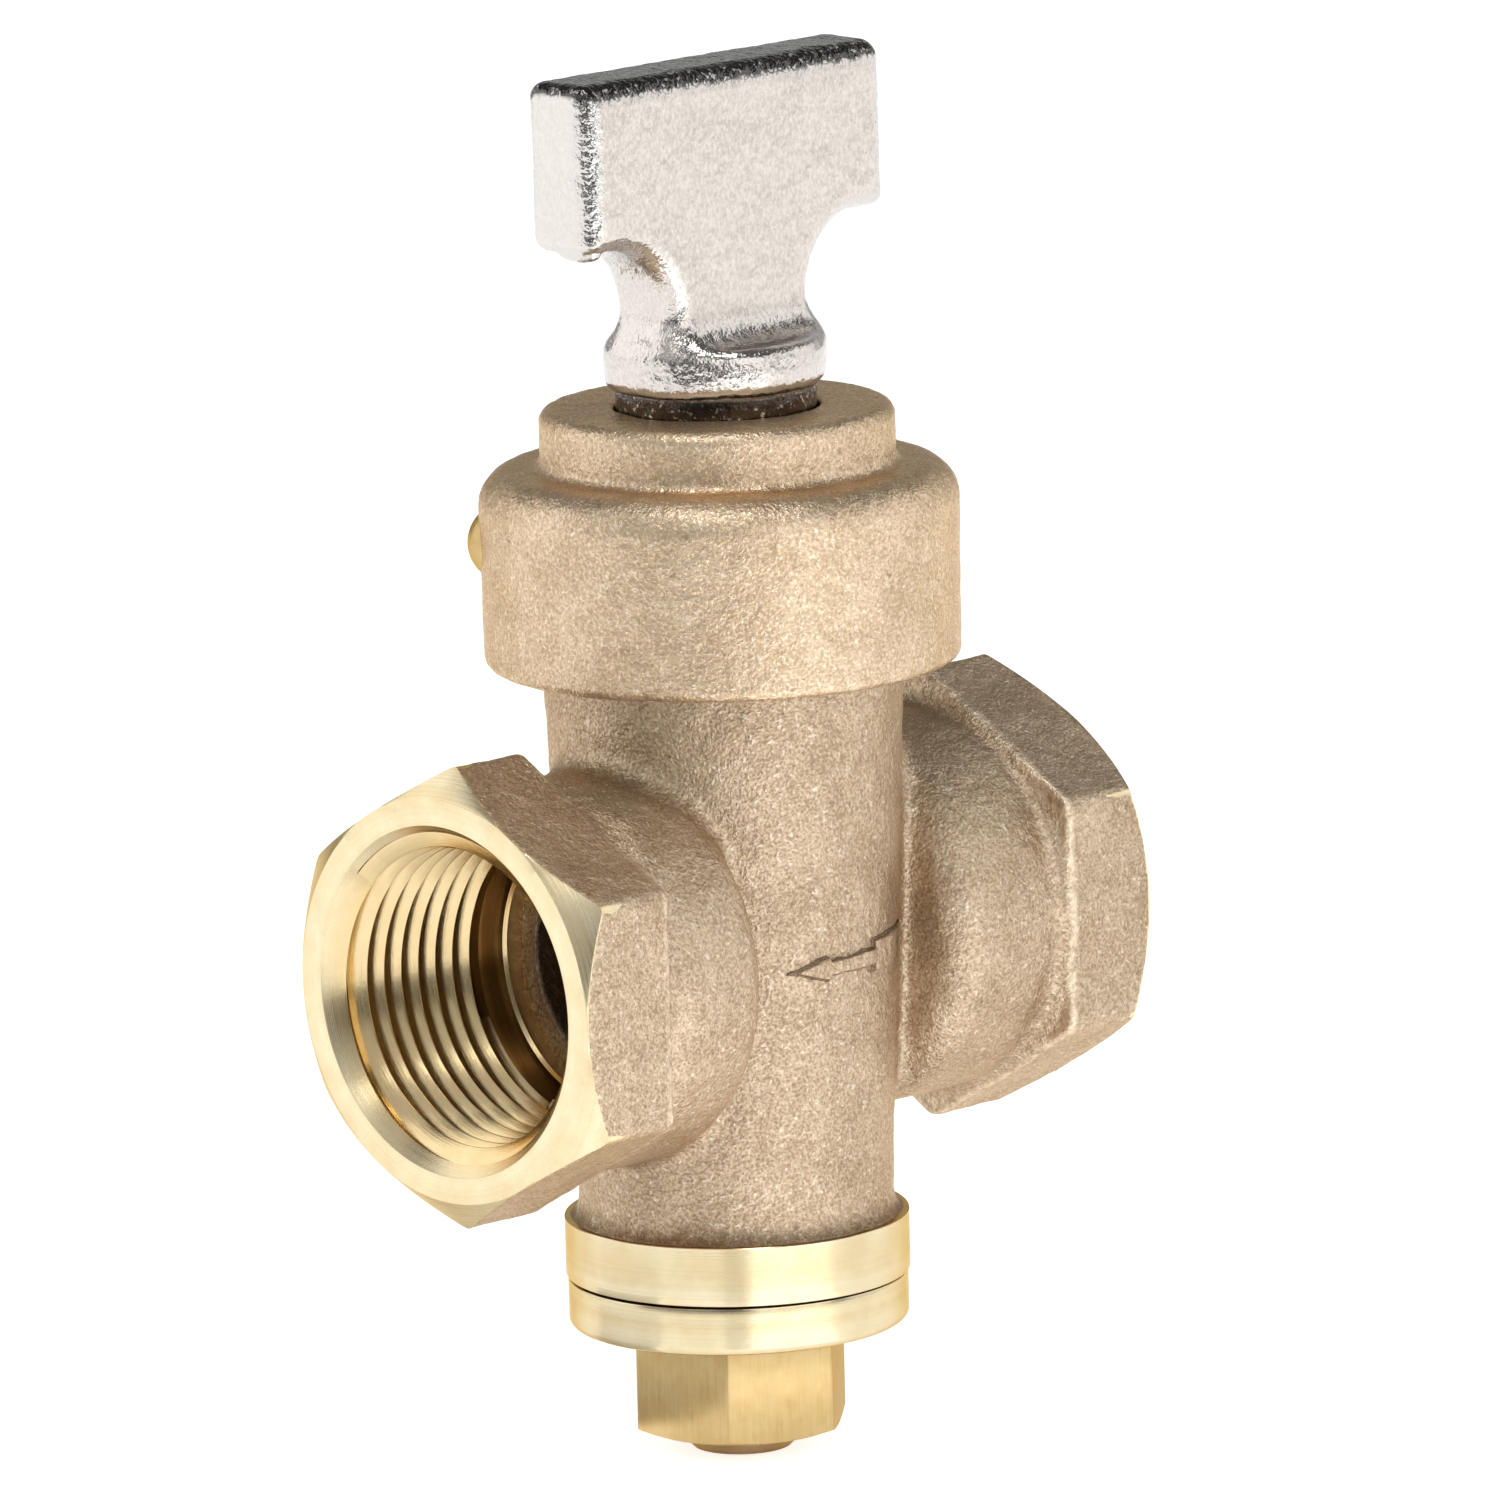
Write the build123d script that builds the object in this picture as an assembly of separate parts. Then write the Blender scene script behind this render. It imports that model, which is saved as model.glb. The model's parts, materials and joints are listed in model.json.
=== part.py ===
"""Quarter-turn ground-key stop valve, 3/4 in female pipe threads both ends, as separate pieces.

Millimetres. Z runs up the key's axis from the end of its stud, X runs along the ports with the
outlet at -X, and -Y is the side with the flow arrow. The valve is open, its handle in line with
the ports. Every piece is written to parts/NAME.step.
"""
from build123d import *
import math
import os

os.makedirs("parts", exist_ok=True)

# Heights of the main levels above the stud's end
NUT_BOTTOM = 1.7
NUT_TOP = 10.4
WASHER_TOP = 14.2
RIM_BOTTOM = 14.5
RIM_TOP = 19.4
PORT_Z = 41.7
SKIRT_BOTTOM = 64.4
BORE_TOP = 66.0
NOTCH_FLOOR = 72.5
PIN_Z = 74.3
BODY_TOP = 77.0
LEDGE_Z = 80.2
CAP_TOP = 85.1
COLLAR_BOTTOM = 86.8
HANDLE_TOP = 112.9

# Body casting
FACE_X = 31.75              # half of 2.5 in, face to face
HEX_FLATS = 32.5
HEX_LENGTH = 9.3
HEX_CHAMFER_ANGLE = 38.5
HEX_FACE_R = 16.2           # turned edge of the hex where it meets the end face
NECK_R = 15.8
NECK_END_X = 10.6
NECK_ROUND = 3.2
BARREL_TOP_R = 14.3
BARREL_LOW_R = 12.6
BARREL_LOW_Z = 21.4
RIM_R = 13.88
COLLAR_R = 16.4             # body's top collar, inside the cap
COUNTERBORE_R = 12.2

# Pipe thread, 3/4-14 taper, as a plain wall at its crests
THREAD_R = 11.9
MOUTH_R = 14.1
MOUTH_DEPTH = 1.8
THREAD_END_X = 16.4
RELIEF_R = 13.2
RELIEF_END_X = 14.2
SEAT_R = 11.3
SEAT_END_X = 12.2
POCKET_R = 9.6
POCKET_END_X = 9.0

# Key
KEY_MID_R = 10.4            # radius at the height of the ports
KEY_TAPER = 26.0            # length over which the radius grows by one
KEY_BOTTOM = 15.1
RUNNING_GAP = 0.05
WATERWAY_WIDE = 9.0
WATERWAY_HIGH = 15.0
WATERWAY_ROUND = 2.5
STEM_SQUARE = 9.6
STEM_TOP = 84.0
TANG_R = 6.2
TANG_FLATS = 9.8
STUD_R = 4.76               # 3/8-16
STUD_CHAMFER = 0.8

# Seals
RING_R = 1.0                # half of the O-rings' section
UPPER_RING_Z = 60.0
LOWER_RING_Z = 24.0
SEAL_WIDE = 14.0
SEAL_HIGH = 20.0
SEAL_THICK = 1.6
SEAL_INNER_R = 9.0

# Bottom fasteners
WASHER_R = 13.71
FRICTION_R = 12.6
FRICTION_BOTTOM = 13.6
NUT_FLATS = 15.875          # 5/8 in
NUT_CHAMFER_ANGLE = 20.0

# Cap
SKIRT_R = 19.25
SKIRT_INNER_R = 17.0
TIER_R = 14.2
TIER_INNER_R = 11.4
CAP_WALL = 2.5
NECK_HOLE_R = 8.2

# Check pin, 1/8 in, pointing halfway between the outlet and the back
PIN_R = 1.55
PIN_ANGLE = 135.0
PIN_TIP = -7.0              # past the axis, seen from the head
PIN_SEAT = 18.9
PIN_HEAD_R = 2.55
PIN_HEAD_HIGH = 1.25
TURN = 90.0
STOP_GAP_R = 1.62           # half the width the pin needs at each end of its travel

# Tee handle
SHANK_R = 8.05
SHANK_BOTTOM = 67.0
COLLAR_TOP_R = 8.85
PADDLE_HALF = 16.2
PADDLE_THICK = 7.8
PADDLE_UNDER = 99.7
WAIST_HALF = 7.7
WAIST_ROUND = 6.0

OVER = 5.0                  # how far a cutter runs past a face


def outline(points, rounds=()):
    """A face through points, with some corners rounded: rounds holds (point number, radius)."""
    face = make_face(Polyline(*points, close=True))
    for number, radius in rounds:
        corner = face.vertices().sort_by_distance((*points[number], 0))[0]
        face = fillet(corner, radius)
    return face


def turned(points, rounds=()):
    """A solid turned about the key's axis from (radius, height) points."""
    return revolve(Plane.XZ * outline(points, rounds), axis=Axis.Z)


def turned_on_ports(points, rounds=()):
    """A solid turned about the port axis from (x, radius) points."""
    return Pos(0, 0, PORT_Z) * revolve(outline(points, rounds), axis=Axis.X)


def upright(radius, bottom, top):
    """A cylinder on the key's axis."""
    return Pos(0, 0, (bottom + top) / 2) * Cylinder(radius, top - bottom)


def key_radius(height):
    return KEY_MID_R + (height - PORT_Z) / KEY_TAPER


def cone_on_key(extra, bottom, top):
    """The key's taper, grown by extra all round."""
    low = key_radius(bottom) + extra
    high = key_radius(top) + extra
    return turned([(0, bottom), (low, bottom), (high, top), (0, top)])


def along_pin(radius, start, end):
    """A cylinder on the check pin's axis, between two distances from the key's axis."""
    rod = Pos((start + end) / 2, 0, PIN_Z) * Rot(0, 90, 0) * Cylinder(radius, end - start)
    return Rot(0, 0, PIN_ANGLE) * rod


def port_slot(grow):
    """The waterway's rounded oblong along the ports, through the barrel."""
    shape = RectangleRounded(WATERWAY_WIDE + grow, WATERWAY_HIGH + grow, WATERWAY_ROUND)
    reach = SEAT_END_X
    return extrude(Plane.YZ.offset(-reach) * Pos(0, PORT_Z) * shape, amount=2 * reach)


def barrel():
    """Tapered barrel with the turned rim below and the wide collar that the cap covers."""
    points = [
        (0, RIM_BOTTOM),
        (RIM_R - 0.3, RIM_BOTTOM),
        (RIM_R, RIM_BOTTOM + 0.3),
        (RIM_R, RIM_TOP),
        (BARREL_LOW_R, BARREL_LOW_Z),
        (BARREL_TOP_R, SKIRT_BOTTOM - 3),
        (BARREL_TOP_R, SKIRT_BOTTOM),
        (COLLAR_R, BORE_TOP + 0.6),
        (COLLAR_R, BODY_TOP),
        (0, BODY_TOP),
    ]
    return turned(points, rounds=[(4, 3.0), (7, 0.8)])


def port_end():
    """Neck and chamfered hexagon at the inlet side, still solid."""
    neck = turned_on_ports(
        [(0, 0), (0, NECK_R), (FACE_X - 1, NECK_R), (FACE_X - 1, 0)],
    )
    shoulder = turned_on_ports(
        [(0, 0), (NECK_END_X, 0), (NECK_END_X, NECK_R), (0, NECK_R)],
    )
    neck = neck - shoulder
    neck = fillet(neck.edges().filter_by(GeomType.CIRCLE).sort_by(Axis.X)[0], NECK_ROUND)
    corner_r = HEX_FLATS / math.sqrt(3)
    back_x = FACE_X - HEX_LENGTH
    hexagon = Plane.YZ.offset(back_x) * Pos(0, PORT_Z) * RegularPolygon(corner_r, 6, rotation=30)
    front_slope = (corner_r - HEX_FACE_R) * math.tan(math.radians(HEX_CHAMFER_ANGLE))
    back_slope = front_slope / 2
    envelope = turned_on_ports(
        [
            (back_x, 0),
            (back_x, NECK_R + 0.6),
            (back_x + back_slope, corner_r),
            (FACE_X - front_slope, corner_r),
            (FACE_X, HEX_FACE_R),
            (FACE_X, 0),
        ],
    )
    return neck + (extrude(hexagon, amount=HEX_LENGTH) & envelope)


def port_bore():
    """Mouth, threaded wall, relief groove, turned seat and cored pocket of the inlet side."""
    return turned_on_ports(
        [
            (POCKET_END_X, 0),
            (POCKET_END_X, POCKET_R - 1.6),
            (SEAT_END_X - 1, POCKET_R),
            (SEAT_END_X, POCKET_R),
            (SEAT_END_X, SEAT_R),
            (RELIEF_END_X, SEAT_R),
            (RELIEF_END_X, RELIEF_R),
            (THREAD_END_X, RELIEF_R),
            (THREAD_END_X, THREAD_R),
            (FACE_X - MOUTH_DEPTH, THREAD_R),
            (FACE_X, MOUTH_R),
            (FACE_X + OVER, MOUTH_R),
            (FACE_X + OVER, 0),
        ],
    )


def flow_arrow():
    """Raised arrow wrapped on the barrel's front, pointing to the outlet."""
    tip, barb, shaft_end, tail = -5.2, -0.9, 3.0, 9.6
    points = [
        (tip, 0),
        (barb, 1.45),
        (barb + 0.4, 0.7),
        (shaft_end, 0.7),
        (shaft_end + 0.5, 1.4),
        (tail, 1.4),
        (tail, -1.4),
        (shaft_end + 0.5, -1.4),
        (shaft_end, -0.7),
        (barb + 0.4, -0.7),
        (barb, -1.45),
    ]
    relief_r = BARREL_LOW_R + (BARREL_TOP_R - BARREL_LOW_R) / 2 + 0.5
    reach = relief_r + 1
    shape = Plane.XZ * Pos(0, PORT_Z - 0.4) * outline(points)
    band = upright(relief_r, PORT_Z - 3, PORT_Z + 3)
    return extrude(shape, amount=reach) & band


def check_notch():
    """Cutter for the quarter-turn gap in the collar that the check pin swings in."""
    spare = math.degrees(math.asin(STOP_GAP_R / COUNTERBORE_R)) + 0.5
    reach = COLLAR_R + OVER
    start = PIN_ANGLE - TURN - spare
    spread = TURN + 2 * spare
    sides = [start, start + spread / 3, start + 2 * spread / 3, start + spread]
    rim = [(reach * math.cos(math.radians(a)), reach * math.sin(math.radians(a))) for a in sides]
    wedge = outline([(0, 0), *rim])
    return Pos(0, 0, NOTCH_FLOOR) * extrude(wedge, amount=BODY_TOP - NOTCH_FLOOR + OVER)


def make_body():
    inlet = port_end()
    body = barrel() + inlet + mirror(inlet, about=Plane.YZ) + flow_arrow()
    body -= cone_on_key(RUNNING_GAP, RIM_BOTTOM - OVER, BORE_TOP + 0.01)
    body -= upright(COUNTERBORE_R, BORE_TOP, BODY_TOP + OVER)
    bore = port_bore()
    body -= bore
    body -= mirror(bore, about=Plane.YZ)
    body -= port_slot(0.4)
    return body - check_notch()


def ring_groove(height):
    """Cutter for an O-ring groove in the key."""
    outer = key_radius(height) + OVER
    inner = ring_middle(height) - RING_R - 0.03
    half = RING_R + 0.2
    return upright(outer, height - half, height + half) - upright(inner, height - half, height + half)


def ring_middle(height):
    return key_radius(height) - 0.06 - RING_R


def make_o_ring(height):
    return Pos(0, 0, height) * Torus(ring_middle(height), RING_R)


def side_ring(grow, inner_r, outer):
    """An oblong ring lying on the key's front side, between two coaxial surfaces."""
    outside = RectangleRounded(SEAL_WIDE + grow, SEAL_HIGH + grow, SEAL_WIDE / 2 - 0.1)
    hole_wide = SEAL_WIDE - 2 * SEAL_THICK - grow
    hole = RectangleRounded(hole_wide, SEAL_HIGH - 2 * SEAL_THICK - grow, hole_wide / 2 - 0.1)
    shape = Plane.XZ * Pos(0, PORT_Z) * (outside - hole)
    ring = extrude(shape, amount=KEY_MID_R + OVER)
    return (ring & outer) - upright(inner_r, PORT_Z - SEAL_HIGH, PORT_Z + SEAL_HIGH)


def make_port_seal():
    surface = cone_on_key(-0.08, PORT_Z - SEAL_HIGH, PORT_Z + SEAL_HIGH)
    return side_ring(0, SEAL_INNER_R, surface)


def square_stem(size, bottom, top):
    return Pos(0, 0, (bottom + top) / 2) * Box(size, size, top - bottom)


def tang(radius, flats, bottom, top):
    """Round with two flats, which turns the washer with the key."""
    height = top - bottom
    return upright(radius, bottom, top) & (Pos(0, 0, (bottom + top) / 2) * Box(3 * radius, flats, height))


def make_key():
    key = cone_on_key(0, KEY_BOTTOM, BORE_TOP)
    key -= ring_groove(UPPER_RING_Z)
    key -= ring_groove(LOWER_RING_Z)
    key -= port_slot(0)
    groove_r = SEAL_INNER_R - 0.05
    key -= side_ring(0.1, groove_r, upright(KEY_MID_R + OVER, 0, 2 * PORT_Z))
    key += square_stem(STEM_SQUARE, BORE_TOP - 1, STEM_TOP)
    key += tang(TANG_R, TANG_FLATS, NUT_TOP + 0.2, KEY_BOTTOM)
    stud = chamfer(upright(STUD_R, 0, KEY_BOTTOM).edges().sort_by(Axis.Z)[0], STUD_CHAMFER)
    key += stud
    return key - along_pin(PIN_R + 0.03, PIN_TIP - 0.05, SKIRT_R)


def make_bottom_washer():
    washer = upright(WASHER_R, NUT_TOP, WASHER_TOP)
    washer = chamfer(washer.edges().sort_by(Axis.Z)[0], 0.5)
    washer -= upright(FRICTION_R + 0.1, FRICTION_BOTTOM, WASHER_TOP)
    return washer - tang(TANG_R + 0.1, TANG_FLATS + 0.2, NUT_TOP - OVER, WASHER_TOP + OVER)


def make_friction_washer():
    washer = upright(FRICTION_R, FRICTION_BOTTOM, RIM_BOTTOM - 0.1)
    return washer - upright(key_radius(KEY_BOTTOM), FRICTION_BOTTOM - OVER, RIM_BOTTOM + OVER)


def make_nut():
    corner_r = NUT_FLATS / math.sqrt(3)
    hexagon = Pos(0, 0, NUT_BOTTOM) * RegularPolygon(corner_r, 6, rotation=-21)
    slope = (corner_r - NUT_FLATS / 2) * math.tan(math.radians(NUT_CHAMFER_ANGLE))
    flat_r = NUT_FLATS / 2
    envelope = turned(
        [
            (0, NUT_BOTTOM),
            (flat_r, NUT_BOTTOM),
            (corner_r, NUT_BOTTOM + slope),
            (corner_r, NUT_TOP - slope),
            (flat_r, NUT_TOP),
            (0, NUT_TOP),
        ],
    )
    nut = extrude(hexagon, amount=NUT_TOP - NUT_BOTTOM) & envelope
    return nut - upright(STUD_R + 0.03, NUT_BOTTOM - OVER, NUT_TOP + OVER)


def make_cap():
    """Two-step cap over the body's collar, of even wall, with the handle's neck through its top."""
    roof = LEDGE_Z - CAP_WALL
    points = [
        (SKIRT_INNER_R, SKIRT_BOTTOM),
        (SKIRT_R - 0.2, SKIRT_BOTTOM),
        (SKIRT_R, LEDGE_Z - 4),
        (SKIRT_R, LEDGE_Z),
        (TIER_R, LEDGE_Z),
        (TIER_R, CAP_TOP),
        (NECK_HOLE_R, CAP_TOP),
        (NECK_HOLE_R, CAP_TOP - CAP_WALL),
        (TIER_INNER_R, CAP_TOP - CAP_WALL),
        (TIER_INNER_R, roof),
        (SKIRT_INNER_R, roof),
    ]
    cap = turned(points, rounds=[(1, 0.9), (3, 2.8), (4, 0.8), (5, 1.0)])
    cap -= along_pin(PIN_R + 0.03, 0, SKIRT_R + OVER)
    return cap - along_pin(PIN_HEAD_R + 0.1, PIN_SEAT, SKIRT_R + OVER)


def make_check_pin():
    """Round-head pin driven through the cap, the handle's shank and the key's stem."""
    tip = (0, PIN_TIP)
    top = (0, PIN_SEAT + PIN_HEAD_HIGH)
    brim = (PIN_HEAD_R, PIN_SEAT)
    dome_r = (PIN_HEAD_R**2 + PIN_HEAD_HIGH**2) / (2 * PIN_HEAD_HIGH)
    dome_middle = PIN_SEAT + PIN_HEAD_HIGH - dome_r
    half_angle = math.asin(PIN_HEAD_R / dome_r) / 2
    crown = (dome_r * math.sin(half_angle), dome_middle + dome_r * math.cos(half_angle))
    sides = Polyline(top, tip, (PIN_R, PIN_TIP), (PIN_R, PIN_SEAT), brim)
    pin = revolve(Plane.XZ * make_face([sides, ThreePointArc(brim, crown, top)]), axis=Axis.Z)
    return Pos(0, 0, PIN_Z) * Rot(0, 0, PIN_ANGLE) * Rot(0, 90, 0) * pin


def paddle():
    """Flat tee with rounded corners that narrows to its waist."""
    right = [
        (0, HANDLE_TOP),
        (PADDLE_HALF - 0.4, HANDLE_TOP),
        (PADDLE_HALF, PADDLE_UNDER),
        (WAIST_HALF, PADDLE_UNDER),
        (WAIST_HALF, COLLAR_BOTTOM + 1),
        (0, COLLAR_BOTTOM + 1),
    ]
    half = outline(right, rounds=[(1, 1.8), (2, 0.9), (3, WAIST_ROUND)])
    plate = extrude(Plane.XZ * half, amount=PADDLE_THICK / 2, both=True)
    plate += mirror(plate, about=Plane.YZ)
    top = plate.faces().sort_by(Axis.Z)[-1]
    return fillet(top.edges().filter_by(Axis.X), 1.0)


def make_handle():
    """Tee handle with a round collar, and a square-socketed shank that drops over the stem."""
    points = [
        (0, SHANK_BOTTOM),
        (SHANK_R, SHANK_BOTTOM),
        (SHANK_R, COLLAR_BOTTOM),
        (COLLAR_TOP_R - 0.3, COLLAR_BOTTOM),
        (COLLAR_TOP_R, COLLAR_BOTTOM + 1.5),
        (COLLAR_TOP_R - 0.1, COLLAR_BOTTOM + 3.2),
        (PADDLE_THICK / 2 + 1, COLLAR_BOTTOM + 6),
        (0, COLLAR_BOTTOM + 6.5),
    ]
    handle = turned(points) + paddle()
    handle -= square_stem(STEM_SQUARE + 0.2, SHANK_BOTTOM - OVER, STEM_TOP + 0.5)
    return handle - along_pin(PIN_R + 0.03, PIN_TIP - 0.05, SHANK_R + OVER)


def build_all():
    return {
        "valve_body": make_body(),
        "key": make_key(),
        "upper_o_ring": make_o_ring(UPPER_RING_Z),
        "lower_o_ring": make_o_ring(LOWER_RING_Z),
        "port_seal_ring": make_port_seal(),
        "friction_washer": make_friction_washer(),
        "bottom_washer": make_bottom_washer(),
        "hex_nut": make_nut(),
        "cap": make_cap(),
        "check_pin": make_check_pin(),
        "tee_handle": make_handle(),
    }


for name, shape in build_all().items():
    export_step(shape, f"parts/{name}.step")
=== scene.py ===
"""Looks of the ground-key stop valve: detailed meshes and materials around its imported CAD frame.

Shapes are worked out in millimetres in the CAD's own frame, Z up from the end of the key's stud,
X along the ports, and become metres when a mesh is made. Castings are smooth fields with true
fillets, turned into fine meshes. Turned and threaded pieces are grids swept round an axis.
"""

import json
import math

import bmesh
import bpy
import numpy as np
from mathutils import Matrix, Vector, noise


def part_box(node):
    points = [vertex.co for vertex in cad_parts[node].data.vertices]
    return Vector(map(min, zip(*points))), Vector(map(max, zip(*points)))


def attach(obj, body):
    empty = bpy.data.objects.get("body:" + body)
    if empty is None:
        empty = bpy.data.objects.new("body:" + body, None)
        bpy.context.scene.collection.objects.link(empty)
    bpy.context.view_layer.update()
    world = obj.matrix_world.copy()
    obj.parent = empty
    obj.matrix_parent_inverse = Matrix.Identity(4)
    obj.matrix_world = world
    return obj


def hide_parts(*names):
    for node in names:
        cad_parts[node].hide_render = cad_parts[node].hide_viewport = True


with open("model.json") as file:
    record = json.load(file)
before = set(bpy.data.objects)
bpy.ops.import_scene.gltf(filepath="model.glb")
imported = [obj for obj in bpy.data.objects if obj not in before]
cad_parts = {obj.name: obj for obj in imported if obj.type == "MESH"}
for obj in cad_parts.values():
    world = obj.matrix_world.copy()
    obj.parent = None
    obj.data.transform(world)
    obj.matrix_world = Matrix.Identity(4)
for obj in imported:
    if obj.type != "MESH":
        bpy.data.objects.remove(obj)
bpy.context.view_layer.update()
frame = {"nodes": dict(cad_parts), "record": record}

MM = 0.001


def node_box(name):
    """Lowest and highest corner of a CAD node, in millimetres."""
    low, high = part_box(name)
    return low / MM, high / MM


# Levels and radii read from the CAD frame
body_low, body_high = node_box("valve_body")
cap_low, cap_high = node_box("cap")
tee_low, tee_high = node_box("tee_handle")
washer_low, washer_high = node_box("bottom_washer")
nut_low, nut_high = node_box("hex_nut")
PORT_Z = frame["record"]["mounts"][0]["pos_m"][2] / MM
THREAD_R = frame["record"]["mounts"][0]["dims"]["r_mm"]
FACE_X = body_high.x
RIM_BOTTOM = body_low.z
BODY_TOP = body_high.z
COLLAR_R = body_high.y

# Body casting
RIM_TOP = 19.3
RIM_R = 13.88
BARREL_LOW_R = 12.6
BARREL_LOW_Z = 21.4
BARREL_SLOPE = 1.7 / 40
FLARE_R = 0.9
FLARE_LENGTH = 0.6
HEX_HALF = 16.25
HEX_LENGTH = 9.3
HEX_BACK_X = FACE_X - HEX_LENGTH
HEX_FACE_R = 16.2
CHAMFER_SLOPE = math.tan(math.radians(38.5))
HEX_SIDES = [math.radians(a) for a in range(0, 360, 60)]
NECK_R = 15.8
NECK_END_X = 10.6
NECK_ROUND = 3.2
WAIST_X = HEX_BACK_X - 0.8   # shallow groove behind each hexagon
KEY_MID_R = 10.4
KEY_TAPER = 26.0
COUNTERBORE_R = 12.2
BORE_TOP = 66.0
COLLAR_HALF_HEIGHT = 5.45
NOTCH_FLOOR = 73.0
NOTCH_HALF_ANGLE = math.radians(53)

# Ports: the thread, the relief groove behind it and the turned seat
PITCH = 25.4 / 14
THREAD_DEPTH = 1.4
PIPE_TAPER = 1 / 32
FIRST_CREST_X = 29.6
MOUTH_R = 14.1
THREAD_END_X = 16.4
RELIEF_R = 13.2
RELIEF_END_X = 14.2
SEAT_R = 11.3
SEAT_END_X = 12.2
SLEEVE_R = 14.5             # hidden outside of the port's turned lining
POCKET_R = 9.6
POCKET_END_X = 8
SLOT_HALF_WIDTH = 4.7
SLOT_HALF_HEIGHT = 7.7

# Raised flow arrow on the barrel's front
ARROW_TIP_X = -5.2
ARROW_RELIEF = 0.5
ARROW_FOOT = 0.1

AROUND = 480
BODY_STEP = 0.25
TEE_STEP = 0.2
ARROW_STEP = 0.15


# ---------------------------------------------------------------- meshes

def mesh_object(name, points, faces, body):
    """A smooth-shaded mesh from points in millimetres, riding on a body."""
    mesh = bpy.data.meshes.new(name)
    faces = np.asarray(faces, dtype=np.int32)
    mesh.vertices.add(len(points))
    mesh.vertices.foreach_set("co", (np.asarray(points) * MM).ravel())
    mesh.loops.add(faces.size)
    mesh.loops.foreach_set("vertex_index", faces.ravel())
    mesh.polygons.add(len(faces))
    mesh.polygons.foreach_set("loop_start", np.arange(0, faces.size, 4, dtype=np.int32))
    mesh.polygons.foreach_set("use_smooth", np.ones(len(faces), dtype=bool))
    mesh.update(calc_edges=True)
    mesh.validate()
    piece = bpy.data.objects.new(name, mesh)
    bpy.context.scene.collection.objects.link(piece)
    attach(piece, body)
    return piece


def weld(piece, sharp_angle):
    """Joins points that coincide, faces the surface outwards and keeps its crisp edges sharp."""
    work = bmesh.new()
    work.from_mesh(piece.data)
    bmesh.ops.remove_doubles(work, verts=work.verts, dist=1e-3 * MM)
    bmesh.ops.dissolve_degenerate(work, edges=work.edges, dist=1e-4 * MM)
    bmesh.ops.recalc_face_normals(work, faces=work.faces)
    work.to_mesh(piece.data)
    work.free()
    piece.data.set_sharp_from_angle(angle=math.radians(sharp_angle))
    return piece


def ring_faces(rows, columns, closed):
    """Quads between neighbouring rows of a grid that runs right round."""
    first = np.arange(rows if closed else rows - 1)[:, None] * columns
    second = (first + columns) % (rows * columns)
    here = np.arange(columns)[None, :]
    after = (here + 1) % columns
    quads = np.stack([first + here, first + after, second + after, second + here], axis=-1)
    return quads.reshape(-1, 4)


def angles():
    return np.linspace(0, 2 * math.pi, AROUND, endpoint=False)


def about_key(radius, height):
    """Points round the key's axis, one row for each pair of radius and height."""
    turn = angles()[None, :]
    radius = np.asarray(radius) * np.ones_like(turn)
    height = np.asarray(height) * np.ones_like(turn)
    return np.stack([radius * np.cos(turn), radius * np.sin(turn), height], axis=-1)


def rounded_path(corners, spacing):
    """A closed path through (radius, height, rounding) corners, as evenly spaced points."""
    corners = np.asarray(corners, dtype=float)
    path = []
    for number, (here, rounding) in enumerate(zip(corners[:, :2], corners[:, 2])):
        before = corners[number - 1, :2] - here
        after = corners[(number + 1) % len(corners), :2] - here
        before /= np.linalg.norm(before)
        after /= np.linalg.norm(after)
        half = math.acos(np.clip(before @ after, -1, 1)) / 2
        cut = rounding / math.tan(half)
        middle = here + (before + after) / np.linalg.norm(before + after) * rounding / math.sin(half)
        start = here + before * cut - middle
        sweep = math.pi - 2 * half
        turn = math.copysign(1, before[0] * after[1] - before[1] * after[0])
        for part in np.linspace(0, 1, 2 + int(rounding * sweep / 0.12)):
            a = -turn * sweep * part
            spun = [start[0] * math.cos(a) - start[1] * math.sin(a),
                    start[0] * math.sin(a) + start[1] * math.cos(a)]
            path.append(middle + spun)
    filled = []
    for here, after in zip(path, path[1:] + path[:1]):
        count = max(1, int(np.linalg.norm(after - here) / spacing))
        filled += [here + (after - here) * k / count for k in range(count)]
    return np.array(filled)


def turned_ring(name, corners, body, spacing=0.5, sharp_angle=35):
    """A closed ring turned about the key's axis."""
    path = rounded_path(corners, spacing)
    points = about_key(path[:, :1], path[:, 1:])
    faces = ring_faces(len(path), AROUND, closed=True)
    return weld(mesh_object(name, points.reshape(-1, 3), faces, body), sharp_angle)


def roughen(piece, lumps, strength=None):
    """Moves points along their normals by a few sizes of noise: (size, height) in millimetres."""
    mesh = piece.data
    count = len(mesh.vertices)
    points = np.empty(count * 3, dtype=np.float32)
    normals = np.empty(count * 3, dtype=np.float32)
    mesh.vertices.foreach_get("co", points)
    mesh.vertex_normals.foreach_get("vector", normals)
    points = points.reshape(-1, 3)
    moved = np.zeros(count)
    for number, (size, height) in enumerate(lumps):
        shift = Vector((7.3, 1.9, 4.1)) * (number + 1)
        scale = 1 / (size * MM)
        values = [noise.noise(Vector(p) * scale + shift) for p in points.tolist()]
        moved += height * MM * np.array(values)
    if strength:
        moved *= strength(points / MM)
    points += normals.reshape(-1, 3) * moved[:, None]
    mesh.vertices.foreach_set("co", points.ravel())
    mesh.update()


# ---------------------------------------------------------------- fields

def join(a, b, radius):
    """Union of two fields with a round fillet in the corner between them."""
    inner = np.hypot(np.maximum(radius - a, 0), np.maximum(radius - b, 0))
    return np.maximum(radius, np.minimum(a, b)) - inner


def cut(a, b, radius):
    """Overlap of two fields with a round edge where they meet."""
    outer = np.hypot(np.maximum(radius + a, 0), np.maximum(radius + b, 0))
    return np.minimum(-radius, np.maximum(a, b)) + outer


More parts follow.
